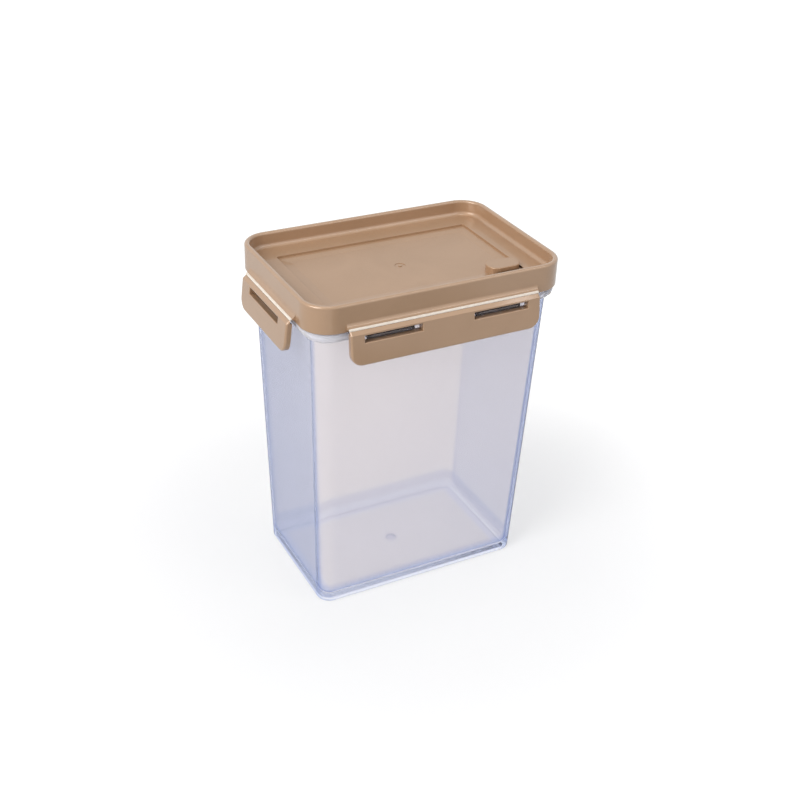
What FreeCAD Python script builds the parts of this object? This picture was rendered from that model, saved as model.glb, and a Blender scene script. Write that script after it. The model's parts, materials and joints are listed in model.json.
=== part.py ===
import FreeCAD, Part

import math
import os

from FreeCAD import Vector

# Airtight food storage container: a tall see-through tub, a lid with four locking flaps on
# moulded film hinges, and a silicone seal ring. Millimetres, +Z up, the front looks along -Y.
# The origin is the middle of the foot, on the surface that the tub stands on.

# Overall sizes
LID_LENGTH = 148.4
LID_WIDTH = 100.0
LID_CORNER = 15.0
OVERALL_HEIGHT = 193.0

# Lid: raised rim, recessed top, sunk panel and skirt
RIM_ROUND = 1.3
RIM_FLAT = 0.4
RECESS_DEPTH = 8.4
COVE_RADIUS = 2.4
PLATE_THICKNESS = 2.0
SKIRT_BELOW_HINGE = 2.4
SKIRT_WALL = 2.1
SKIRT_ROUND = 0.8
PANEL_END_MARGIN = 13.2
PANEL_SIDE_MARGIN = 14.0
PANEL_CORNER = 1.5
PANEL_STEP = 1.1
PANEL_RAMP_WIDTH = 6.0
PANEL_RAMP_DROP = 0.6
PLUG_DEPTH = 6.6
PLUG_WALL = 1.6

# Raised bare pad on the lid, in the front right corner of the panel
PAD_LENGTH = 19.0
PAD_WIDTH = 11.0
PAD_END_FLAT = 1.0
PAD_RISE = 2.3
PAD_ROUND = 0.6
PAD_FROM_PANEL_END = 0.4
PAD_FROM_PANEL_EDGE = 1.2

# Moulding gate marks: a nub in a dimple in the middle of the lid, a dimple under the tub
LID_DIMPLE_RADIUS = 3.0
LID_DIMPLE_DEPTH = 0.25
LID_GATE_RADIUS = 1.0
LID_GATE_RISE = 0.35
TUB_GATE_RADIUS = 3.0
TUB_GATE_DEPTH = 0.8

# Seal ring, in the groove between the skirt and the plug
SEAL_HEIGHT = 2.3
SEAL_CLEARANCE = 0.1
SEAL_ROUND = 0.8

# Tub: tapered walls, foot, collar and the rim that enters the lid's groove
WALL_TAPER = 5.8
BASE_CORNER = 8.0
BASE_ROUND = 2.0
WALL = 1.8
FLOOR = 2.5
FLOOR_CORNER = 0.2
FOOT_WIDTH = 4.0
FOOT_DEPTH = 0.7
WALL_INSET = 5.1
RIM_WALL = 1.8
RIM_CLEARANCE = 0.4
RIM_TIP_ROUND = 0.5
PLUG_CLEARANCE = 1.3
PLUG_FLOOR_CLEARANCE = 0.6
SHOULDER_HEIGHT = 2.8
COLLAR_INSET = 1.2
COLLAR_HEIGHT = 3.0
COLLAR_ROUND = 0.8
COLLAR_GAP = 0.6
BEAD_INSET = 2.6
BEAD_MARGIN = 1.1

# Film hinges: the axis stands out from the lid's side, on a coved ledge
HINGE_REACH = 2.4
HINGE_DROP = 12.9
HINGE_GAP = 0.8
FILM_THICKNESS = 0.4
FILM_CLEARANCE = 0.1
LEDGE_HEIGHT = 2.6
LEDGE_TIP = 0.9
LEDGE_UNDERCUT = 0.45
LEDGE_OVERHANG = 0.4
LEDGE_ROOT = 0.8

# Locking flaps: shallow trays that hang from the hinges, leaning out a little when locked
LONG_FLAP_MARGIN = 19.2
SHORT_FLAP_MARGIN = 20.0
FLAP_HEIGHT = 19.5
FLAP_LEAN_OUT = 2.04
FLAP_PLATE = 2.0
FLAP_DEPTH = 3.2
FLAP_EDGE = 1.6
FLAP_CORNER = 6.5
FLAP_ROUND = 1.1
FLAP_HEAD = 2.6
FLAP_TIP = 0.3

# Slots through the flaps, and the hook ribs below them that catch the tub's tabs
SLOT_MARGIN = 1.0
LONG_SLOT_MARGIN = 7.5
LONG_SLOT_BRIDGE = 30.2
SHORT_SLOT_MARGIN = 11.0
HOOK_DEPTH = 3.2
HOOK_LIP = 0.8
HOOK_SLOPE = 1.6
HOOK_MARGIN = 1.2
SLOT_ROUND = 0.5
SLOT_DEPTH = 4.2

# Tabs on the tub's collar
TAB_BELOW_COLLAR = 1.06
TAB_CLEARANCE = 0.3
TAB_GRIP = 1.4
TAB_TIP = 1.3
TAB_SLOPE = 1.7
TAB_END_CLEARANCE = 2.9
TAB_ROOT = 0.6

# Lid and flap sizes worked out from the sizes above. A flap's plate has its back on the hinge axis.
RIM_WIDTH = 2 * RIM_ROUND + RIM_FLAT
SKIRT_HEIGHT = HINGE_DROP + SKIRT_BELOW_HINGE
PAD_CORNER = (PAD_WIDTH - PAD_END_FLAT) / 2
FLOOR_ROUND = BASE_CORNER - WALL - FLOOR_CORNER
LONG_FLAP = LID_LENGTH - 2 * LONG_FLAP_MARGIN
SHORT_FLAP = LID_WIDTH - 2 * SHORT_FLAP_MARGIN
FLAP_FACE = FLAP_PLATE
FLAP_BACK = 0.0
LEAN = math.asin(FLAP_LEAN_OUT / FLAP_HEIGHT)

# Heights worked out from the sizes above
LEDGE_Z = OVERALL_HEIGHT - RECESS_DEPTH
CEILING_Z = LEDGE_Z - PLATE_THICKNESS
PANEL_Z = LEDGE_Z - PANEL_STEP - PANEL_RAMP_DROP
SKIRT_Z = OVERALL_HEIGHT - SKIRT_HEIGHT
PLUG_Z = CEILING_Z - PLUG_DEPTH
RIM_Z = CEILING_Z - SEAL_HEIGHT - SEAL_CLEARANCE
HINGE_Z = OVERALL_HEIGHT - HINGE_DROP
COLLAR_Z = SKIRT_Z - COLLAR_GAP
STEP_Z = COLLAR_Z - COLLAR_HEIGHT
TAB_Z = STEP_Z - TAB_BELOW_COLLAR
BEAD_Z = TAB_Z - BEAD_MARGIN

# Insets from the lid's outer outline worked out from the sizes above
RIM_OUTER_INSET = SKIRT_WALL + RIM_CLEARANCE
RIM_INNER_INSET = RIM_OUTER_INSET + RIM_WALL
PLUG_INSET = RIM_INNER_INSET + PLUG_CLEARANCE

# Lengths and widths worked out from the sizes above
PANEL_LENGTH = LID_LENGTH - 2 * (RIM_WIDTH + PANEL_END_MARGIN)
PANEL_WIDTH = LID_WIDTH - 2 * (RIM_WIDTH + PANEL_SIDE_MARGIN)
BASE_LENGTH = LID_LENGTH - 2 * (WALL_INSET + WALL_TAPER)
BASE_WIDTH = LID_WIDTH - 2 * (WALL_INSET + WALL_TAPER)

# Slots worked out from the sizes above: the lower edge of each is the hook that lies under a tab
SLOT_TOP = FLAP_HEAD + SLOT_MARGIN
HOOK_DOWN = (HINGE_Z - TAB_Z + TAB_CLEARANCE) / math.cos(LEAN)
LONG_SLOT = (LONG_FLAP - LONG_SLOT_BRIDGE) / 2 - LONG_SLOT_MARGIN
LONG_SLOT_SPACING = LONG_SLOT + LONG_SLOT_BRIDGE
SHORT_SLOT = SHORT_FLAP - 2 * SHORT_SLOT_MARGIN


def flap_point(down, out):
    """Distance out from the lid's outline, and height, of a point of a locked flap."""
    reach = HINGE_REACH + out * math.cos(LEAN) + down * math.sin(LEAN)
    height = HINGE_Z + out * math.sin(LEAN) - down * math.cos(LEAN)
    return reach, height


TAB_REACH = flap_point(HOOK_DOWN, FLAP_BACK - HOOK_DEPTH)[0] + TAB_GRIP


def rounded_outline(length, width, radius, z):
    """A closed wire: a rectangle with round corners, centred on the Z axis."""
    x, y = length / 2, width / 2
    corners = [(x, y, 0), (-x, y, 90), (-x, -y, 180), (x, -y, 270)]
    arcs = []
    for corner_x, corner_y, start in corners:
        centre = Vector(math.copysign(x - radius, corner_x), math.copysign(y - radius, corner_y), z)
        arcs.append(Part.makeCircle(radius, centre, Vector(0, 0, 1), start, start + 90))
    edges = []
    for arc, following in zip(arcs, arcs[1:] + arcs[:1]):
        edges.append(arc)
        edges.append(Part.makeLine(arc.Vertexes[-1].Point, following.Vertexes[0].Point))
    return Part.Wire(edges)


def lid_outline(inset, z):
    """The lid's outline at a height, moved inwards by an inset."""
    return rounded_outline(LID_LENGTH - 2 * inset, LID_WIDTH - 2 * inset, LID_CORNER - inset, z)


def base_outline(inset, z):
    """The foot's outline at a height, moved inwards by an inset."""
    return rounded_outline(BASE_LENGTH - 2 * inset, BASE_WIDTH - 2 * inset, BASE_CORNER - inset, z)


def prism(outline, top_z):
    """The solid from a level outline straight up to a height."""
    rise = top_z - outline.BoundBox.ZMin
    return Part.Face(outline).extrude(Vector(0, 0, rise))


def tapered(lower, upper):
    """The solid with straight sides between two level outlines."""
    return Part.makeLoft([lower, upper], True, True)


def level_edges(shape, z):
    """The edges of a shape that lie level at a height."""
    return [e for e in shape.Edges if all(abs(v.Z - z) < 1e-6 for v in e.Vertexes) and e.BoundBox.ZLength < 1e-6]


def along_front(profile, length):
    """A solid with a section in (reach, height) points, along the front side, centred on X."""
    points = [Vector(-length / 2, -reach, height) for reach, height in profile]
    return Part.Face(Part.makePolygon(points + points[:1])).extrude(Vector(length, 0, 0))


def to_side(shape, quarter_turns, offset):
    """Moves a shape built at Y = 0 facing the front out by an offset, to one of four sides."""
    placed = shape.copy()
    placed.translate(Vector(0, -offset, 0))
    placed.rotate(Vector(0, 0, 0), Vector(0, 0, 1), 90 * quarter_turns)
    return placed


# Each side's name, quarter turns from the front, distance of the lid's side from the middle,
# flap length, and the places and length of its slots
SIDES = [
    ("front", 0, LID_WIDTH / 2, LONG_FLAP, [-LONG_SLOT_SPACING / 2, LONG_SLOT_SPACING / 2], LONG_SLOT),
    ("right", 1, LID_LENGTH / 2, SHORT_FLAP, [0.0], SHORT_SLOT),
    ("back", 2, LID_WIDTH / 2, LONG_FLAP, [-LONG_SLOT_SPACING / 2, LONG_SLOT_SPACING / 2], LONG_SLOT),
    ("left", 3, LID_LENGTH / 2, SHORT_FLAP, [0.0], SHORT_SLOT),
]


def hinge_ledge(flap_length):
    """The coved ledge that carries one film hinge, at the lid's side."""
    top = (0.0, HINGE_Z + LEDGE_HEIGHT)
    tip_reach = HINGE_REACH - HINGE_GAP
    tip_top = (tip_reach, HINGE_Z + LEDGE_TIP / 2)
    cove = (tip_reach * 0.32, HINGE_Z + LEDGE_TIP / 2 + (LEDGE_HEIGHT - LEDGE_TIP / 2) * 0.36)
    tip_low = (tip_reach, HINGE_Z - LEDGE_TIP / 2)
    root_low = (-LEDGE_ROOT, HINGE_Z - LEDGE_TIP / 2 - LEDGE_UNDERCUT)
    root_top = (-LEDGE_ROOT, HINGE_Z + LEDGE_HEIGHT)
    length = flap_length + 2 * LEDGE_OVERHANG

    def at_end(point):
        return Vector(-length / 2, -point[0], point[1])

    edges = [Part.Arc(at_end(top), at_end(cove), at_end(tip_top)).toShape()]
    corners = [tip_top, tip_low, root_low, root_top, top]
    for start, end in zip(corners, corners[1:]):
        edges.append(Part.makeLine(at_end(start), at_end(end)))
    return Part.Face(Part.Wire(edges)).extrude(Vector(length, 0, 0))


def raised_pad():
    """The bare pad in the panel's front right corner, higher than the ledge."""
    height = LEDGE_Z + PAD_RISE - PANEL_Z
    pad = prism(rounded_outline(PAD_LENGTH, PAD_WIDTH, PAD_CORNER, PANEL_Z), PANEL_Z + height)
    pad = pad.makeFillet(PAD_ROUND, level_edges(pad, PANEL_Z + height))
    x = PANEL_LENGTH / 2 - PAD_FROM_PANEL_END - PAD_LENGTH / 2
    y = -PANEL_WIDTH / 2 + PAD_FROM_PANEL_EDGE + PAD_WIDTH / 2
    pad.translate(Vector(x, y, 0))
    return pad


def make_lid():
    """The lid moulding without its flaps."""
    body = prism(lid_outline(0, SKIRT_Z), OVERALL_HEIGHT)
    body = body.makeFillet(RIM_ROUND, level_edges(body, OVERALL_HEIGHT))
    body = body.makeFillet(SKIRT_ROUND, level_edges(body, SKIRT_Z))

    recess = prism(lid_outline(RIM_WIDTH, LEDGE_Z), OVERALL_HEIGHT + RIM_WIDTH)
    recess = recess.makeFillet(COVE_RADIUS, level_edges(recess, LEDGE_Z))
    body = body.cut(recess)
    inner_half = LID_WIDTH / 2 - RIM_WIDTH + 1e-3
    rim_edges = [e for e in level_edges(body, OVERALL_HEIGHT) if e.BoundBox.YMax < inner_half]
    rim_edges = [e for e in rim_edges if e.BoundBox.YMin > -inner_half]
    body = body.makeFillet(RIM_ROUND, rim_edges)

    step_z = LEDGE_Z - PANEL_STEP
    sink = prism(rounded_outline(PANEL_LENGTH, PANEL_WIDTH, PANEL_CORNER, step_z), LEDGE_Z + PANEL_STEP)
    ramp_foot = rounded_outline(
        PANEL_LENGTH - 2 * PANEL_RAMP_WIDTH, PANEL_WIDTH - 2 * PANEL_RAMP_WIDTH, PANEL_CORNER, PANEL_Z
    )
    ramp = tapered(ramp_foot, rounded_outline(PANEL_LENGTH, PANEL_WIDTH, PANEL_CORNER, step_z))

    hollow = prism(lid_outline(SKIRT_WALL, SKIRT_Z - SKIRT_WALL), CEILING_Z)
    panel_wall = 2 * PLATE_THICKNESS
    panel_back = prism(
        rounded_outline(PANEL_LENGTH + panel_wall, PANEL_WIDTH + panel_wall, PANEL_CORNER + PLATE_THICKNESS,
                        PANEL_Z - PLATE_THICKNESS),
        LEDGE_Z - PLATE_THICKNESS / 2,
    )
    plug = prism(lid_outline(PLUG_INSET, PLUG_Z), LEDGE_Z - PLATE_THICKNESS / 2)
    plug = plug.cut(prism(lid_outline(PLUG_INSET + PLUG_WALL, PLUG_Z - PLUG_WALL), LEDGE_Z))
    body = body.cut(hollow).fuse([panel_back, plug]).cut(sink.fuse(ramp))

    dimple = Part.makeCylinder(LID_DIMPLE_RADIUS, PLATE_THICKNESS, Vector(0, 0, PANEL_Z - LID_DIMPLE_DEPTH))
    gate = Part.makeCylinder(LID_GATE_RADIUS, LID_GATE_RISE + LID_DIMPLE_DEPTH,
                             Vector(0, 0, PANEL_Z - 2 * LID_DIMPLE_DEPTH))
    body = body.cut(dimple)
    ledges = [to_side(hinge_ledge(flap), turns, offset) for _, turns, offset, flap, _, _ in SIDES]
    return body.fuse([raised_pad(), gate] + ledges).removeSplitter()


def make_seal():
    """The silicone ring that fills the lid's groove and lies on the tub's rim."""
    low = CEILING_Z - SEAL_HEIGHT
    outer = prism(lid_outline(SKIRT_WALL + SEAL_CLEARANCE, low), CEILING_Z)
    inner = prism(lid_outline(PLUG_INSET - SEAL_CLEARANCE, low - SEAL_HEIGHT), CEILING_Z + SEAL_HEIGHT)
    ring = outer.cut(inner)
    return ring.makeFillet(SEAL_ROUND, level_edges(ring, low))


def flap_outline(length, inset, top):
    """The flap's outline in its own plane: square at the top, round at the lower corners."""
    x, low = length / 2 - inset, -FLAP_HEIGHT + inset
    radius = FLAP_CORNER - inset
    right = Part.makeCircle(radius, Vector(x - radius, 0, low + radius), Vector(0, -1, 0), 270, 360)
    left = Part.makeCircle(radius, Vector(-x + radius, 0, low + radius), Vector(0, -1, 0), 180, 270)
    sides = [
        Part.makeLine(left.Vertexes[-1].Point, right.Vertexes[0].Point),
        right,
        Part.makeLine(right.Vertexes[-1].Point, Vector(x, 0, -top)),
        Part.makeLine(Vector(x, 0, -top), Vector(-x, 0, -top)),
        Part.makeLine(Vector(-x, 0, -top), left.Vertexes[0].Point),
        left,
    ]
    return Part.Wire(Part.__sortEdges__(sides))


def flap_block(length, inset, top, out_low, out_high):
    """The solid inside the flap's outline, between two distances out from the hinge."""
    face = Part.Face(flap_outline(length, inset, top))
    face.translate(Vector(0, -out_high, 0))
    return face.extrude(Vector(0, out_high - out_low, 0))


def flap_section(points, length):
    """A solid along the flap's length with a section in (down, out) points from the hinge."""
    return along_front([(out, -down) for down, out in points], length)


def make_flap(length, slot_places, slot_length):
    """One flap on its hinge axis at the origin, hanging straight down and facing the front."""
    inner = FLAP_FACE - FLAP_DEPTH
    section = [
        (HINGE_GAP, FLAP_BACK), (HINGE_GAP, FLAP_TIP), (FLAP_HEAD, FLAP_FACE), (FLAP_HEIGHT, FLAP_FACE),
        (FLAP_HEIGHT, inner), (FLAP_HEAD, inner), (FLAP_HEAD, FLAP_BACK),
    ]
    flap = flap_section(section, length).common(flap_block(length, 0, 0, inner, FLAP_FACE))
    outer_edges = [
        e for e in flap.Edges
        if e.BoundBox.YMax < -FLAP_TIP + 1e-6 and e.BoundBox.YMin < -FLAP_FACE + 1e-6
        and not (e.BoundBox.XLength > length - 1e-3 and e.BoundBox.ZMin > -FLAP_HEAD - 1e-3)
    ]
    flap = flap.makeFillet(FLAP_ROUND, outer_edges)
    flap = flap.cut(flap_block(length, FLAP_EDGE, FLAP_HEAD, inner - FLAP_DEPTH, FLAP_BACK))

    behind = FLAP_FACE - SLOT_DEPTH
    frame = [(FLAP_HEAD, FLAP_BACK), (FLAP_HEAD, behind), (HOOK_DOWN, behind), (HOOK_DOWN, FLAP_BACK)]
    hook = [
        (HOOK_DOWN, FLAP_BACK), (HOOK_DOWN, FLAP_BACK - HOOK_DEPTH),
        (HOOK_DOWN + HOOK_LIP, FLAP_BACK - HOOK_DEPTH), (HOOK_DOWN + HOOK_LIP + HOOK_SLOPE, FLAP_BACK),
    ]
    slot = [
        (SLOT_TOP, FLAP_FACE + FLAP_PLATE), (SLOT_TOP, behind - FLAP_PLATE),
        (HOOK_DOWN, behind - FLAP_PLATE), (HOOK_DOWN, FLAP_FACE + FLAP_PLATE),
    ]
    for place in slot_places:
        ribs = flap_section(frame, slot_length + 2 * HOOK_MARGIN)
        ribs = ribs.fuse(flap_section(hook, slot_length + 2 * HOOK_MARGIN))
        ribs.translate(Vector(place, 0, 0))
        opening = flap_section(slot, slot_length)
        opening.translate(Vector(place, 0, 0))
        flap = flap.fuse(ribs).cut(opening)
    flap = flap.removeSplitter()
    mouth_edges = [
        e for e in flap.Edges
        if e.BoundBox.YMax < -FLAP_FACE + 1e-6
        and -HOOK_DOWN - 1e-3 < e.BoundBox.ZMin and e.BoundBox.ZMax < -SLOT_TOP + 1e-3
    ]
    flap = flap.makeFillet(SLOT_ROUND, mouth_edges)

    scoop = Part.makeCylinder(HINGE_GAP + FILM_CLEARANCE, length + 2 * FLAP_CORNER,
                              Vector(-length / 2 - FLAP_CORNER, 0, 0), Vector(1, 0, 0))
    return flap.cut(scoop)


def lock_flap(flap):
    """Turns a hanging flap to its locked lean and lifts it to the hinge's height."""
    flap.rotate(Vector(0, 0, 0), Vector(1, 0, 0), -math.degrees(LEAN))
    flap.translate(Vector(0, 0, HINGE_Z))
    return flap


def make_film(length):
    """The thin strip that joins the ledge to the flap's head, bent round the locked corner."""
    turn = math.pi / 2 - LEAN
    radius = HINGE_GAP / math.tan(turn / 2)
    centre = Vector(-length / 2, -(HINGE_REACH - HINGE_GAP), HINGE_Z - radius)

    def on_arc(distance, angle):
        return centre + Vector(0, -distance * math.sin(angle), distance * math.cos(angle))

    inner, outer = radius - FILM_THICKNESS / 2, radius + FILM_THICKNESS / 2
    edges = [
        Part.Arc(on_arc(outer, 0), on_arc(outer, turn / 2), on_arc(outer, turn)).toShape(),
        Part.makeLine(on_arc(outer, turn), on_arc(inner, turn)),
        Part.Arc(on_arc(inner, turn), on_arc(inner, turn / 2), on_arc(inner, 0)).toShape(),
        Part.makeLine(on_arc(inner, 0), on_arc(outer, 0)),
    ]
    return Part.Face(Part.Wire(edges)).extrude(Vector(length, 0, 0))


def make_tab(slot_length):
    """One locking tab: flat below, sloped above so that the flap's hook rides over it."""
    root = -BEAD_INSET - TAB_ROOT
    profile = [
        (root, TAB_Z), (TAB_REACH, TAB_Z), (TAB_REACH, TAB_Z + TAB_TIP),
        (-COLLAR_INSET, TAB_Z + TAB_TIP + TAB_SLOPE), (root, TAB_Z + TAB_TIP + TAB_SLOPE),
    ]
    return along_front(profile, slot_length - 2 * TAB_END_CLEARANCE)


def make_tub():
    """The see-through tub with its collar, tabs and rim."""
    wall = tapered(base_outline(0, 0), lid_outline(WALL_INSET, BEAD_Z))
    wall = wall.makeFillet(BASE_ROUND, level_edges(wall, 0))
    bead = prism(lid_outline(BEAD_INSET, BEAD_Z), STEP_Z + COLLAR_ROUND)
    bead = bead.makeFillet(BEAD_MARGIN, level_edges(bead, BEAD_Z))
    collar = prism(lid_outline(COLLAR_INSET, STEP_Z), COLLAR_Z)
    collar = collar.makeFillet(COLLAR_ROUND, level_edges(collar, STEP_Z) + level_edges(collar, COLLAR_Z))
    rim = prism(lid_outline(RIM_OUTER_INSET, STEP_Z), RIM_Z)
    rim = rim.makeFillet(RIM_TIP_ROUND, level_edges(rim, RIM_Z))
    tabs = []
    for _, turns, offset, _, places, slot_length in SIDES:
        for place in places:
            tab = make_tab(slot_length)
            tab.translate(Vector(place, 0, 0))
            tabs.append(to_side(tab, turns, offset))
    solid = wall.fuse([bead, collar, rim] + tabs)

    shoulder_z = PLUG_Z - PLUG_FLOOR_CLEARANCE
    inside_z = shoulder_z - SHOULDER_HEIGHT
    inside_inset = WALL_INSET + WALL
    cavity = tapered(base_outline(WALL, FLOOR), lid_outline(inside_inset, inside_z))
    cavity = cavity.makeFillet(FLOOR_ROUND, level_edges(cavity, FLOOR))
    shoulder = tapered(lid_outline(inside_inset, inside_z), lid_outline(RIM_INNER_INSET, shoulder_z))
    mouth = prism(lid_outline(RIM_INNER_INSET, shoulder_z), RIM_Z + RIM_WALL)
    foot = prism(base_outline(FOOT_WIDTH, -FOOT_DEPTH), FOOT_DEPTH)
    dimple = Part.makeCylinder(TUB_GATE_RADIUS, FOOT_DEPTH + TUB_GATE_DEPTH)
    return solid.cut(cavity.fuse([shoulder, mouth])).cut(foot.fuse(dimple)).removeSplitter()


def main():
    os.makedirs("parts", exist_ok=True)
    pieces = {"tub": make_tub(), "lid": make_lid(), "seal_ring": make_seal()}
    for name, turns, offset, length, places, slot_length in SIDES:
        flap = lock_flap(make_flap(length, places, slot_length))
        pieces["locking_flap_" + name] = to_side(flap, turns, offset + HINGE_REACH)
        pieces["film_hinge_" + name] = to_side(make_film(length), turns, offset)
    for name, shape in pieces.items():
        solids = shape.Solids
        piece = solids[0] if len(solids) == 1 else Part.makeCompound(solids)
        piece.exportStep(os.path.join("parts", name + ".step"))
        box = piece.BoundBox
        size = "x".join(f"{value:.1f}" for value in (box.XLength, box.YLength, box.ZLength))
        print(f"{name}: {len(solids)} solid, valid {piece.isValid()}, {size} mm, {piece.Volume / 1000:.2f} cm3")


main()
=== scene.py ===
import json
import math

import bpy
from mathutils import Matrix, Vector


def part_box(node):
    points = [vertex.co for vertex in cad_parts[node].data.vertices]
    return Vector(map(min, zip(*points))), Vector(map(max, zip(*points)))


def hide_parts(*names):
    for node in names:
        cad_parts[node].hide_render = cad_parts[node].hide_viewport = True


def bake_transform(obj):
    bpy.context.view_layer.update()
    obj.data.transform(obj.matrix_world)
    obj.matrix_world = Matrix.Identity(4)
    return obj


# Airtight food storage container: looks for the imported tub, lid, seal ring and locking flaps,
# and bending film hinges that join each flap to the lid. Metres, +Z up, the front looks along -Y.

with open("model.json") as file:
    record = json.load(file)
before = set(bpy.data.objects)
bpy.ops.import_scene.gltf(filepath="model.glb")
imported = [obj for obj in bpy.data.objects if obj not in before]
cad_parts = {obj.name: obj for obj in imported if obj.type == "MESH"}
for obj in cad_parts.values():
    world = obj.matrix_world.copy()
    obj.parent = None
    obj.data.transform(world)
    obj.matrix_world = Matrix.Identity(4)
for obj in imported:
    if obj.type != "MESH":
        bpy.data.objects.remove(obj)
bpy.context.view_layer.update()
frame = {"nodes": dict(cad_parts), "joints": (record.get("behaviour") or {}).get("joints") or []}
nodes = frame["nodes"]
joints = {joint["name"]: joint for joint in frame["joints"]}

MM = 0.001

# Half sizes from the container's middle line, and heights above its foot, that the finishes follow
RECESS_HALF = (69.2 * MM, 45.0 * MM, 188.0 * MM)
COLLAR_HALF = (73.1 * MM, 48.9 * MM, 0.0)
FLOOR_FLAT_HALF = (53.0 * MM, 29.0 * MM, 0.0)
CORNER_HALF = (54.8 * MM, 30.6 * MM, 0.0)
WALL_SLOPE = (0.0337, 0.0337, 0.0)
COLLAR_START, COLLAR_FULL = 170.0 * MM, 172.0 * MM
FLOOR_EDGE_END, FLOOR_EDGE_FULL = 13.0 * MM, 10.0 * MM
FOOT_END, FOOT_FULL = 5.5 * MM, 4.0 * MM
GATE_MARK_END, GATE_MARK_FULL = 4.6 * MM, 3.2 * MM

# Places of a Mix node's two colours and of its mixed colour
COLOUR_A, COLOUR_B, MIXED = 6, 7, 2


def linear(hex_colour):
    """A linear colour from an sRGB hex value."""
    channels = [int(hex_colour[place:place + 2], 16) / 255 for place in (1, 3, 5)]
    return [c / 12.92 if c <= 0.04045 else ((c + 0.055) / 1.055) ** 2.4 for c in channels] + [1.0]


def per_metre(size_mm):
    """The texture scale at which a pattern repeats about once in a size in millimetres."""
    return 1000.0 / size_mm


def add(tree, kind, sockets=None, **settings):
    """Adds a node with its settings. A socket's value is a number, a colour, or an output to link."""
    node = tree.nodes.new(kind)
    for name, value in settings.items():
        setattr(node, name, value)
    for name, value in (sockets or {}).items():
        if isinstance(value, bpy.types.NodeSocket):
            tree.links.new(value, node.inputs[name])
        else:
            node.inputs[name].default_value = value
    return node


def new_material(name):
    """An empty material, with its tree and the Object coordinates that its patterns read."""
    material = bpy.data.materials.new(name)
    material.use_nodes = True
    tree = material.node_tree
    tree.nodes.clear()
    place = add(tree, "ShaderNodeTexCoord").outputs["Object"]
    return material, tree, place


# Materials


def tan_polypropylene():
    """Polypropylene with tan and a little pearl pigment, injection moulded against polished steel.

    To the eye: an even warm tan under a clear glossy skin, slightly wavy where the wall shrank as it
    cooled, satin on the sunk top. The pearl flakes lie in faint clouds along the flow and light up
    softly on rims and corners. Slots and crevices are darkened in the colour by painted shade.
    """
    material, tree, place = new_material("polypropylene_tan_pearl_moulded_gloss")
    flow = add(tree, "ShaderNodeTexNoise",
               {"Vector": place, "Scale": per_metre(38), "Detail": 3.0, "Roughness": 0.55,
                "Distortion": 0.8})
    tint = add(tree, "ShaderNodeValToRGB", {"Fac": flow.outputs["Fac"]})
    tint.color_ramp.elements[0].position = 0.3
    tint.color_ramp.elements[0].color = linear("#AF8D6D")
    tint.color_ramp.elements[1].position = 0.72
    tint.color_ramp.elements[1].color = linear("#B69373")
    # The pearl flakes and the mould's own grain are about 0.1 mm, and are drawn at 0.7 mm
    # so that they show in the render.
    grain = add(tree, "ShaderNodeTexNoise", {"Vector": place, "Scale": per_metre(0.7), "Detail": 2.0})
    wave = add(tree, "ShaderNodeTexNoise", {"Vector": place, "Scale": per_metre(17), "Detail": 1.0})
    gloss = add(tree, "ShaderNodeMapRange",
                {"Value": grain.outputs["Fac"], "From Min": 0.3, "From Max": 0.7, "To Min": 0.35,
                 "To Max": 0.41})
    # Painted shade: ambient occlusion darkens the colour towards dark brown in slots, crevices and tight
    # corners.
    occlusion_for_painted_shade = add(tree, "ShaderNodeAmbientOcclusion", {"Distance": 4.0 * MM}, samples=8)
    painted_crevice_shade = add(tree, "ShaderNodeMapRange",
               {"Value": occlusion_for_painted_shade.outputs["AO"], "From Min": 0.12, "From Max": 0.5, "To Min": 1.0,
                "To Max": 0.0})
    colour = add(tree, "ShaderNodeMix",
                 {"Factor": painted_crevice_shade.outputs["Result"], COLOUR_A: tint.outputs["Color"],
                  COLOUR_B: linear("#4A3426")},
                 data_type="RGBA")
    # The panel and ledge on top were moulded against blasted steel, so they are satin.
    outside = add(tree, "ShaderNodeVectorMath", {0: place}, operation="ABSOLUTE")
    from_wall = add(tree, "ShaderNodeVectorMath",
                    {0: outside.outputs["Vector"], 1: RECESS_HALF}, operation="SUBTRACT")
    reach = add(tree, "ShaderNodeSeparateXYZ", {"Vector": from_wall.outputs["Vector"]}).outputs
    within = add(tree, "ShaderNodeMath", {0: reach["X"], 1: reach["Y"]}, operation="MAXIMUM")
    sunk = add(tree, "ShaderNodeMath", {0: within.outputs["Value"], 1: reach["Z"]}, operation="MAXIMUM")
    polish = add(tree, "ShaderNodeMapRange",
                 {"Value": sunk.outputs["Value"], "From Min": 0.0, "From Max": -0.6 * MM,
                  "To Min": 1.0, "To Max": 0.35})
    shrink = add(tree, "ShaderNodeBump",
                 {"Height": wave.outputs["Fac"], "Distance": 0.03 * MM, "Strength": 1.0})
    skin = add(tree, "ShaderNodeBump",
               {"Height": grain.outputs["Fac"], "Distance": 0.0012 * MM, "Strength": 1.0,
                "Normal": shrink.outputs["Normal"]})
    shader = add(tree, "ShaderNodeBsdfPrincipled", {
        "Base Color": colour.outputs[MIXED], "Roughness": gloss.outputs["Result"], "IOR": 1.49,
        "Metallic": 0.16,
        "Coat Weight": polish.outputs["Result"], "Coat IOR": 1.49, "Coat Roughness": 0.06,
        "Normal": skin.outputs["Normal"], "Coat Normal": skin.outputs["Normal"],
    })
    add(tree, "ShaderNodeOutputMaterial", {"Surface": shader.outputs["BSDF"]})
    return material


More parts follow.
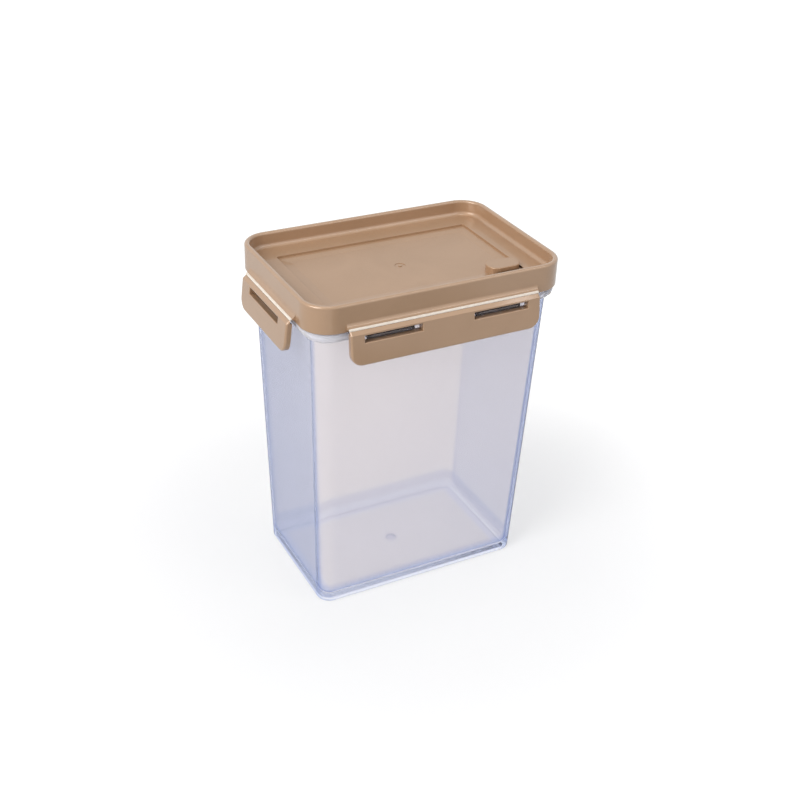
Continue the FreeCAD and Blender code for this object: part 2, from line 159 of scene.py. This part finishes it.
def clarified_polypropylene():
    """Clarified polypropylene, injection moulded clear and drawn off a polished core.

    To the eye: see-through with a light haze, cool and slightly blue where the wall is looked at
    edge on, with a soft gloss that waves gently over the tall walls.
    """
    material, tree, place = new_material("polypropylene_clarified_moulded_hazy")
    wave = add(tree, "ShaderNodeTexNoise", {"Vector": place, "Scale": per_metre(45), "Detail": 1.0})
    haze = add(tree, "ShaderNodeTexNoise", {"Vector": place, "Scale": per_metre(30), "Detail": 1.0})
    gloss = add(tree, "ShaderNodeMapRange",
                {"Value": haze.outputs["Fac"], "From Min": 0.3, "From Max": 0.7, "To Min": 0.12,
                 "To Max": 0.15})
    shrink = add(tree, "ShaderNodeBump",
                 {"Height": wave.outputs["Fac"], "Distance": 0.12 * MM, "Strength": 1.0})
    # Darker and bluer where the wall is seen edge on: partly the longer path through the plastic, partly
    # painted darker reflection of the surroundings.
    edge = add(tree, "ShaderNodeLayerWeight", {"Blend": 0.5})
    tint = add(tree, "ShaderNodeValToRGB", {"Fac": edge.outputs["Facing"]})
    tint.color_ramp.elements[0].position = 0.25
    tint.color_ramp.elements[0].color = linear("#F3EFEF")
    tint.color_ramp.elements[1].position = 0.85
    tint.color_ramp.elements[1].color = linear("#8997C5")
    tint.color_ramp.elements.new(0.6).color = linear("#D8DDEC")
    # Painted light: the rounded corners turn blue as soon as they turn away, standing in for the light
    # that runs along inside the wall.
    outside = add(tree, "ShaderNodeVectorMath", {0: place}, operation="ABSOLUTE")
    height = add(tree, "ShaderNodeSeparateXYZ", {"Vector": place}).outputs["Z"]
    lean = add(tree, "ShaderNodeVectorMath", {0: WALL_SLOPE, "Scale": height}, operation="SCALE")
    upright = add(tree, "ShaderNodeVectorMath",
                  {0: outside.outputs["Vector"], 1: lean.outputs["Vector"]}, operation="SUBTRACT")
    from_side = add(tree, "ShaderNodeVectorMath",
                    {0: upright.outputs["Vector"], 1: CORNER_HALF}, operation="SUBTRACT")
    bend = add(tree, "ShaderNodeSeparateXYZ", {"Vector": from_side.outputs["Vector"]}).outputs
    both = add(tree, "ShaderNodeMath", {0: bend["X"], 1: bend["Y"]}, operation="MINIMUM")
    corner = add(tree, "ShaderNodeMapRange",
                 {"Value": both.outputs["Value"], "From Min": -0.5 * MM, "From Max": 0.5 * MM},
                 interpolation_type="SMOOTHSTEP")
    turned = add(tree, "ShaderNodeMapRange",
                 {"Value": edge.outputs["Facing"], "From Min": 0.28, "From Max": 0.5},
                 interpolation_type="SMOOTHSTEP")
    along = add(tree, "ShaderNodeMath",
                {0: corner.outputs["Result"], 1: turned.outputs["Result"]}, operation="MULTIPLY")
    corners = add(tree, "ShaderNodeMix",
                  {"Factor": along.outputs["Value"], COLOUR_A: tint.outputs["Color"],
                   COLOUR_B: linear("#CFD9F1")},
                  data_type="RGBA", blend_type="MULTIPLY")
    # The floor's rounded edge and the gate mark in its middle are the thickest plastic, and look bluer.
    from_flat = add(tree, "ShaderNodeVectorMath",
                    {0: outside.outputs["Vector"], 1: FLOOR_FLAT_HALF}, operation="SUBTRACT")
    spot = add(tree, "ShaderNodeSeparateXYZ", {"Vector": from_flat.outputs["Vector"]}).outputs
    beyond = add(tree, "ShaderNodeMath", {0: spot["X"], 1: spot["Y"]}, operation="MAXIMUM")
    ring = add(tree, "ShaderNodeMapRange",
               {"Value": beyond.outputs["Value"], "From Min": 0.0, "From Max": 2.5 * MM},
               interpolation_type="SMOOTHSTEP")
    low = add(tree, "ShaderNodeMapRange",
              {"Value": spot["Z"], "From Min": FLOOR_EDGE_END, "From Max": FLOOR_EDGE_FULL},
              interpolation_type="SMOOTHSTEP")
    edges = add(tree, "ShaderNodeMath",
                {0: ring.outputs["Result"], 1: low.outputs["Result"]}, operation="MULTIPLY")
    middle = add(tree, "ShaderNodeVectorMath", {0: place}, operation="LENGTH")
    gate = add(tree, "ShaderNodeMapRange",
               {"Value": middle.outputs["Value"], "From Min": GATE_MARK_END, "From Max": GATE_MARK_FULL},
               interpolation_type="SMOOTHSTEP")
    thick = add(tree, "ShaderNodeMath",
                {0: edges.outputs["Value"], 1: gate.outputs["Result"]}, operation="MAXIMUM")
    walls = add(tree, "ShaderNodeMix",
                {"Factor": thick.outputs["Value"], COLOUR_A: corners.outputs[MIXED],
                 COLOUR_B: linear("#EAEFFA")},
                data_type="RGBA", blend_type="MULTIPLY")
    # The collar is thick enough to look milky, and the foot lets in the light of what it stands on.
    collar = add(tree, "ShaderNodeMapRange",
                 {"Value": height, "From Min": COLLAR_START, "From Max": COLLAR_FULL})
    pale = add(tree, "ShaderNodeMix",
               {"Factor": collar.outputs["Result"], COLOUR_A: walls.outputs[MIXED],
                COLOUR_B: linear("#FDFBFD")},
               data_type="RGBA")
    foot = add(tree, "ShaderNodeMapRange", {"Value": height, "From Min": FOOT_END, "From Max": FOOT_FULL})
    foot_edge = add(tree, "ShaderNodeMath",
                    {0: edges.outputs["Value"], 1: foot.outputs["Result"]}, operation="MULTIPLY")
    # The locking tabs stand out past the collar. Where ambient occlusion finds them shut inside a flap's
    # slot, their colour is darkened almost to black: painted shade.
    past = add(tree, "ShaderNodeVectorMath",
               {0: outside.outputs["Vector"], 1: COLLAR_HALF}, operation="SUBTRACT")
    reach = add(tree, "ShaderNodeSeparateXYZ", {"Vector": past.outputs["Vector"]}).outputs
    tab = add(tree, "ShaderNodeMath", {0: reach["X"], 1: reach["Y"]}, operation="MAXIMUM")
    on_tab = add(tree, "ShaderNodeMapRange",
                 {"Value": tab.outputs["Value"], "From Min": 0.0, "From Max": 0.3 * MM})
    occlusion_for_painted_shade = add(tree, "ShaderNodeAmbientOcclusion", {"Distance": 6.0 * MM}, samples=8)
    painted_shade_depth = add(tree, "ShaderNodeMapRange",
                  {"Value": occlusion_for_painted_shade.outputs["AO"], "From Min": 0.42, "From Max": 0.75, "To Min": 1.0,
                   "To Max": 0.0})
    shaded = add(tree, "ShaderNodeMath",
                 {0: on_tab.outputs["Result"], 1: painted_shade_depth.outputs["Result"]}, operation="MULTIPLY")
    inner_face = add(tree, "ShaderNodeNewGeometry").outputs["Backfacing"]
    painted_tab_shade = add(tree, "ShaderNodeMath",
               {0: shaded.outputs["Value"], 1: inner_face}, operation="SUBTRACT", use_clamp=True)
    body = add(tree, "ShaderNodeMix",
               {"Factor": painted_tab_shade.outputs["Value"], COLOUR_A: pale.outputs[MIXED],
                COLOUR_B: linear("#1F1813")},
               data_type="RGBA")
    clear_wall = add(tree, "ShaderNodeMapRange",
                     {"Value": collar.outputs["Result"], "To Min": 0.88, "To Max": 0.47})
    clear = add(tree, "ShaderNodeMapRange",
                {"Value": foot_edge.outputs["Value"], "To Min": clear_wall.outputs["Result"],
                 "To Max": 0.98})
    shader = add(tree, "ShaderNodeBsdfPrincipled", {
        "Base Color": body.outputs[MIXED], "Roughness": gloss.outputs["Result"], "IOR": 1.17,
        "Transmission Weight": clear.outputs["Result"], "Coat Weight": 0.25, "Coat IOR": 1.49,
        "Coat Roughness": 0.06,
        "Normal": shrink.outputs["Normal"],
    })
    inside = add(tree, "ShaderNodeVolumeAbsorption", {"Color": linear("#ACB9D9"), "Density": 40.0})
    add(tree, "ShaderNodeOutputMaterial",
        {"Surface": shader.outputs["BSDF"], "Volume": inside.outputs["Volume"]})
    return material


def flexed_polypropylene():
    """The lid's own polypropylene, coined thin at the hinge and whitened by its first bends.

    To the eye: a pale cream line, satin, with fine streaks along the fold.
    """
    material, tree, place = new_material("polypropylene_film_stress_whitened")
    along = add(tree, "ShaderNodeMapping", {"Vector": place, "Scale": (1.0, 1.0, 6.0)})
    streaks = add(tree, "ShaderNodeTexNoise",
                  {"Vector": along.outputs["Vector"], "Scale": per_metre(2.5), "Detail": 3.0})
    tint = add(tree, "ShaderNodeValToRGB", {"Fac": streaks.outputs["Fac"]})
    tint.color_ramp.elements[0].position = 0.3
    tint.color_ramp.elements[0].color = linear("#E3D6C4")
    tint.color_ramp.elements[1].position = 0.7
    tint.color_ramp.elements[1].color = linear("#F3EBDF")
    gloss = add(tree, "ShaderNodeMapRange",
                {"Value": streaks.outputs["Fac"], "From Min": 0.3, "From Max": 0.7, "To Min": 0.32,
                 "To Max": 0.45})
    crease = add(tree, "ShaderNodeBump",
                 {"Height": streaks.outputs["Fac"], "Distance": 0.02 * MM, "Strength": 1.0})
    shader = add(tree, "ShaderNodeBsdfPrincipled", {
        "Base Color": tint.outputs["Color"], "Roughness": gloss.outputs["Result"], "IOR": 1.49,
        "Normal": crease.outputs["Normal"],
    })
    add(tree, "ShaderNodeOutputMaterial", {"Surface": shader.outputs["BSDF"]})
    return material


def seal_silicone():
    """Silicone rubber, compression moulded and lightly bloomed.

    To the eye: milky white, soft and nearly matt, a little see-through at its edges.
    """
    material, tree, place = new_material("silicone_milky_moulded_satin")
    bloom = add(tree, "ShaderNodeTexNoise", {"Vector": place, "Scale": per_metre(6), "Detail": 4.0})
    gloss = add(tree, "ShaderNodeMapRange",
                {"Value": bloom.outputs["Fac"], "From Min": 0.3, "From Max": 0.7, "To Min": 0.42,
                 "To Max": 0.6})
    skin = add(tree, "ShaderNodeBump",
               {"Height": bloom.outputs["Fac"], "Distance": 0.02 * MM, "Strength": 1.0})
    shader = add(tree, "ShaderNodeBsdfPrincipled", {
        "Base Color": linear("#E6E6E1"), "Roughness": gloss.outputs["Result"], "IOR": 1.41,
        "Subsurface Weight": 0.4, "Subsurface Scale": 2.0 * MM, "Normal": skin.outputs["Normal"],
    })
    add(tree, "ShaderNodeOutputMaterial", {"Surface": shader.outputs["BSDF"]})
    return material


def studio_sweep():
    """Painted studio floor, matt white, that runs out into a white background.

    To the eye: white, with the container's own soft shadow close to its foot.
    """
    material, tree, place = new_material("floor_paint_white_matt")
    rays = add(tree, "ShaderNodeLightPath").outputs
    reach = add(tree, "ShaderNodeVectorMath", {0: place}, operation="LENGTH")
    far = add(tree, "ShaderNodeMapRange",
              {"Value": reach.outputs["Value"], "From Min": 0.1, "From Max": 0.3, "To Min": 0.55,
               "To Max": 1.0},
              interpolation_type="SMOOTHSTEP")
    seen = add(tree, "ShaderNodeMath",
               {0: rays["Is Camera Ray"], 1: far.outputs["Result"]}, operation="MULTIPLY")
    shine = add(tree, "ShaderNodeMath",
                {0: rays["Is Glossy Ray"], 1: rays["Is Transmission Ray"]}, operation="MAXIMUM")
    white = add(tree, "ShaderNodeMath",
                {0: seen.outputs["Value"], 1: shine.outputs["Value"]}, operation="MAXIMUM")
    paint = add(tree, "ShaderNodeBsdfDiffuse", {"Color": linear("#E6E6E6"), "Roughness": 0.4})
    # In reflections the floor is a glowing sheet with a darker patch in front of the container: painted
    # shade seen in the lid's gloss.
    painted_shade_spot = add(tree, "ShaderNodeVectorMath",
                    {0: place, 1: (0.07, -0.42, 0.0)}, operation="DISTANCE")
    painted_reflection_shade = add(tree, "ShaderNodeMapRange",
               {"Value": painted_shade_spot.outputs["Value"], "From Min": 0.13, "From Max": 0.19, "To Min": 0.3,
                "To Max": 0.76},
               interpolation_type="SMOOTHSTEP")
    mirror = add(tree, "ShaderNodeMath",
                 {0: rays["Is Glossy Ray"], 1: rays["Is Transmission Ray"]},
                 operation="SUBTRACT", use_clamp=True)
    level = add(tree, "ShaderNodeMapRange",
                {"Value": mirror.outputs["Value"], "To Min": 1.15, "To Max": painted_reflection_shade.outputs["Result"]})
    glow = add(tree, "ShaderNodeEmission",
               {"Color": linear("#FFFFFF"), "Strength": level.outputs["Result"]})
    mix = add(tree, "ShaderNodeMixShader",
              {"Fac": white.outputs["Value"], 1: paint.outputs["BSDF"], 2: glow.outputs["Emission"]})
    add(tree, "ShaderNodeOutputMaterial", {"Surface": mix.outputs["Shader"]})
    return material


LID_PLASTIC = tan_polypropylene()
TUB_PLASTIC = clarified_polypropylene()
FILM_PLASTIC = flexed_polypropylene()
SEAL_RUBBER = seal_silicone()


def dress(node, material):
    """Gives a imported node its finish."""
    nodes[node].data.materials.clear()
    nodes[node].data.materials.append(material)


dress("tub", TUB_PLASTIC)
dress("lid", LID_PLASTIC)
dress("seal_ring", SEAL_RUBBER)
for side in ("front", "back", "left", "right"):
    dress("locking_flap_" + side, LID_PLASTIC)


# Film hinges

HINGE_GAP = 0.8 * MM
FLAP_LEAN_OUT, FLAP_LEAN_LENGTH = 2.04, 19.5
FLAP_LEAN = math.asin(FLAP_LEAN_OUT / FLAP_LEAN_LENGTH)
FILM_TURN = math.pi / 2 - FLAP_LEAN
FILM_RADIUS = HINGE_GAP / math.tan(FILM_TURN / 2)
FILM_THICKNESS = 0.4 * MM
QUARTER_TURNS = {"front": 0, "right": 1, "back": 2, "left": 3}


def film_tree():
    """Nodes that sweep a thin flat section along the bend: X is outwards, Y is up,
    Z is along the flap."""
    tree = bpy.data.node_groups.new("bent_film_strip", "GeometryNodeTree")
    for name in ("Length", "Thickness", "Bend Radius", "Bend Angle"):
        tree.interface.new_socket(name, in_out="INPUT", socket_type="NodeSocketFloat")
    tree.interface.new_socket("Geometry", in_out="OUTPUT", socket_type="NodeSocketGeometry")
    sizes = add(tree, "NodeGroupInput").outputs
    start = add(tree, "ShaderNodeMath", {0: math.pi / 2, 1: sizes["Bend Angle"]}, operation="SUBTRACT")
    bend = add(tree, "GeometryNodeCurveArc", {
        "Resolution": 17, "Radius": sizes["Bend Radius"], "Start Angle": start.outputs["Value"],
        "Sweep Angle": sizes["Bend Angle"],
    })
    upright = add(tree, "GeometryNodeSetCurveNormal", {"Curve": bend.outputs["Curve"]}, mode="Z_UP")
    section = add(tree, "GeometryNodeCurvePrimitiveQuadrilateral",
                  {"Width": sizes["Thickness"], "Height": sizes["Length"]}, mode="RECTANGLE")
    strip = add(tree, "GeometryNodeCurveToMesh", {
        "Curve": upright.outputs["Curve"], "Profile Curve": section.outputs["Curve"], "Fill Caps": True,
    })
    real = add(tree, "GeometryNodeRealizeInstances", {"Geometry": strip.outputs["Mesh"]})
    finish = add(tree, "GeometryNodeSetMaterial",
                 {"Geometry": real.outputs["Geometry"], "Material": FILM_PLASTIC})
    add(tree, "NodeGroupOutput", {"Geometry": finish.outputs["Geometry"]})
    return tree


def film_hinge(side, tree):
    """One bent film, from the lid's ledge to the head of its flap."""
    low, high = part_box("film_hinge_" + side)
    length = max(high.x - low.x, high.y - low.y)
    shaper = bpy.data.objects.new("film_shaper_" + side, bpy.data.meshes.new("film_shaper_" + side))
    bpy.context.scene.collection.objects.link(shaper)
    modifier = shaper.modifiers.new("film", "NODES")
    modifier.node_group = tree
    sizes = {"Length": length, "Thickness": FILM_THICKNESS, "Bend Radius": FILM_RADIUS,
    "Bend Angle": FILM_TURN}
    for item in tree.interface.items_tree:
        if item.in_out == "INPUT":
            modifier[item.identifier] = sizes[item.name]
    evaluated = shaper.evaluated_get(bpy.context.evaluated_depsgraph_get())
    mesh = bpy.data.meshes.new_from_object(evaluated)
    bpy.data.objects.remove(shaper)

    to_front = Matrix(((0, 0, -1, 0), (-1, 0, 0, 0), (0, 1, 0, 0), (0, 0, 0, 1)))
    axis = Vector(joints["flap_" + side + "_hinge"]["pos_m"])
    turn = Matrix.Rotation(QUARTER_TURNS[side] * math.pi / 2, 4, "Z")
    mesh.transform(Matrix.Translation(axis) @ turn @ to_front @ Matrix.Translation((-HINGE_GAP,
    -FILM_RADIUS, 0)))
    film = bpy.data.objects.new("hinge_film_" + side, mesh)
    bpy.context.scene.collection.objects.link(film)
    mesh.shade_smooth()
    mesh.set_sharp_from_angle(angle=math.radians(40))

    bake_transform(film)
    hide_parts("film_hinge_" + side)
    return film


strip_tree = film_tree()
for side in QUARTER_TURNS:
    film_hinge(side, strip_tree)


# Floor, light and camera

FLOOR_HALF = 6
FLOOR_CORNERS = ((-1, -1), (1, -1), (1, 1), (-1, 1))
TUB_MIDDLE = (0, 0, 0.1)
LID_MIDDLE = (0, 0, 0.18)
CAMERA_PLACE = (-0.287858, -0.534711, 0.459860)
LENS_MM = 55.578

floor_mesh = bpy.data.meshes.new("floor")
floor_mesh.from_pydata([(x * FLOOR_HALF, y * FLOOR_HALF, 0) for x, y in FLOOR_CORNERS],
                       [], [(0, 1, 2, 3)])
floor_mesh.materials.append(studio_sweep())
floor = bpy.data.objects.new("floor", floor_mesh)
bpy.context.scene.collection.objects.link(floor)


def studio_light():
    """White all round for the camera and for reflections, and a softer even light on the object."""
    world = bpy.data.worlds.new("studio")
    world.use_nodes = True
    tree = world.node_tree
    tree.nodes.clear()
    rays = add(tree, "ShaderNodeLightPath").outputs
    shine = add(tree, "ShaderNodeMath",
                {0: rays["Is Glossy Ray"], 1: rays["Is Transmission Ray"]}, operation="MAXIMUM")
    white = add(tree, "ShaderNodeMath",
                {0: rays["Is Camera Ray"], 1: shine.outputs["Value"]}, operation="MAXIMUM")
    even = add(tree, "ShaderNodeBackground", {"Color": linear("#F4F6FF"), "Strength": 0.42})
    plain = add(tree, "ShaderNodeBackground", {"Color": linear("#FFFFFF"), "Strength": 1.0})
    mix = add(tree, "ShaderNodeMixShader",
              {"Fac": white.outputs["Value"], 1: even.outputs["Background"],
               2: plain.outputs["Background"]})
    add(tree, "ShaderNodeOutputWorld", {"Surface": mix.outputs["Shader"]})
    bpy.context.scene.world = world


def softbox(name, place, aim, width, height, power):
    """A rectangular lamp that looks from a place towards a point."""
    lamp = bpy.data.lights.new(name, "AREA")
    lamp.shape = "RECTANGLE"
    lamp.size = width
    lamp.size_y = height
    lamp.energy = power
    holder = bpy.data.objects.new(name, lamp)
    holder.location = place
    holder.rotation_euler = (Vector(aim) - Vector(place)).to_track_quat("-Z", "Y").to_euler()
    bpy.context.scene.collection.objects.link(holder)


studio_light()
softbox("key_left", (-1.35, -0.45, 1.1), TUB_MIDDLE, 1.0, 1.0, 18.8)
softbox("overhead", (0.05, 0.1, 1.3), TUB_MIDDLE, 0.5, 0.25, 1.4)
softbox("fill_front", (0.9, -1.5, 0.9), TUB_MIDDLE, 1.4, 1.0, 2.0)
softbox("strip_front", (0.49, -0.61, 1.08), LID_MIDDLE, 0.5, 0.15, 0.9)
softbox("strip_corner", (-0.65, -0.24, 1.15), LID_MIDDLE, 0.4, 0.25, 1.0)


def photograph_camera():
    """The camera at the photograph's angle: 28.6 degrees to the left, 30.7 degrees up,
    2.2 degrees of roll."""
    azimuth, elevation, roll = math.radians(-28.551), math.radians(30.727), math.radians(2.178)
    back = Vector((math.sin(azimuth) * math.cos(elevation), -math.cos(azimuth) * math.cos(elevation),
    math.sin(elevation)))
    right = Vector((math.cos(azimuth), math.sin(azimuth), 0))
    up = back.cross(right)
    level, upright = math.cos(roll), math.sin(roll)
    across = right * level + up * upright
    above = up * level - right * upright
    lens = bpy.data.cameras.new("camera")
    lens.sensor_width = 36.0
    lens.lens = LENS_MM
    camera = bpy.data.objects.new("camera", lens)
    turned = Matrix((across, above, back)).transposed().to_4x4()
    camera.matrix_world = Matrix.Translation(CAMERA_PLACE) @ turned
    bpy.context.scene.collection.objects.link(camera)
    bpy.context.scene.camera = camera


photograph_camera()
bpy.context.scene.view_settings.view_transform = "Standard"
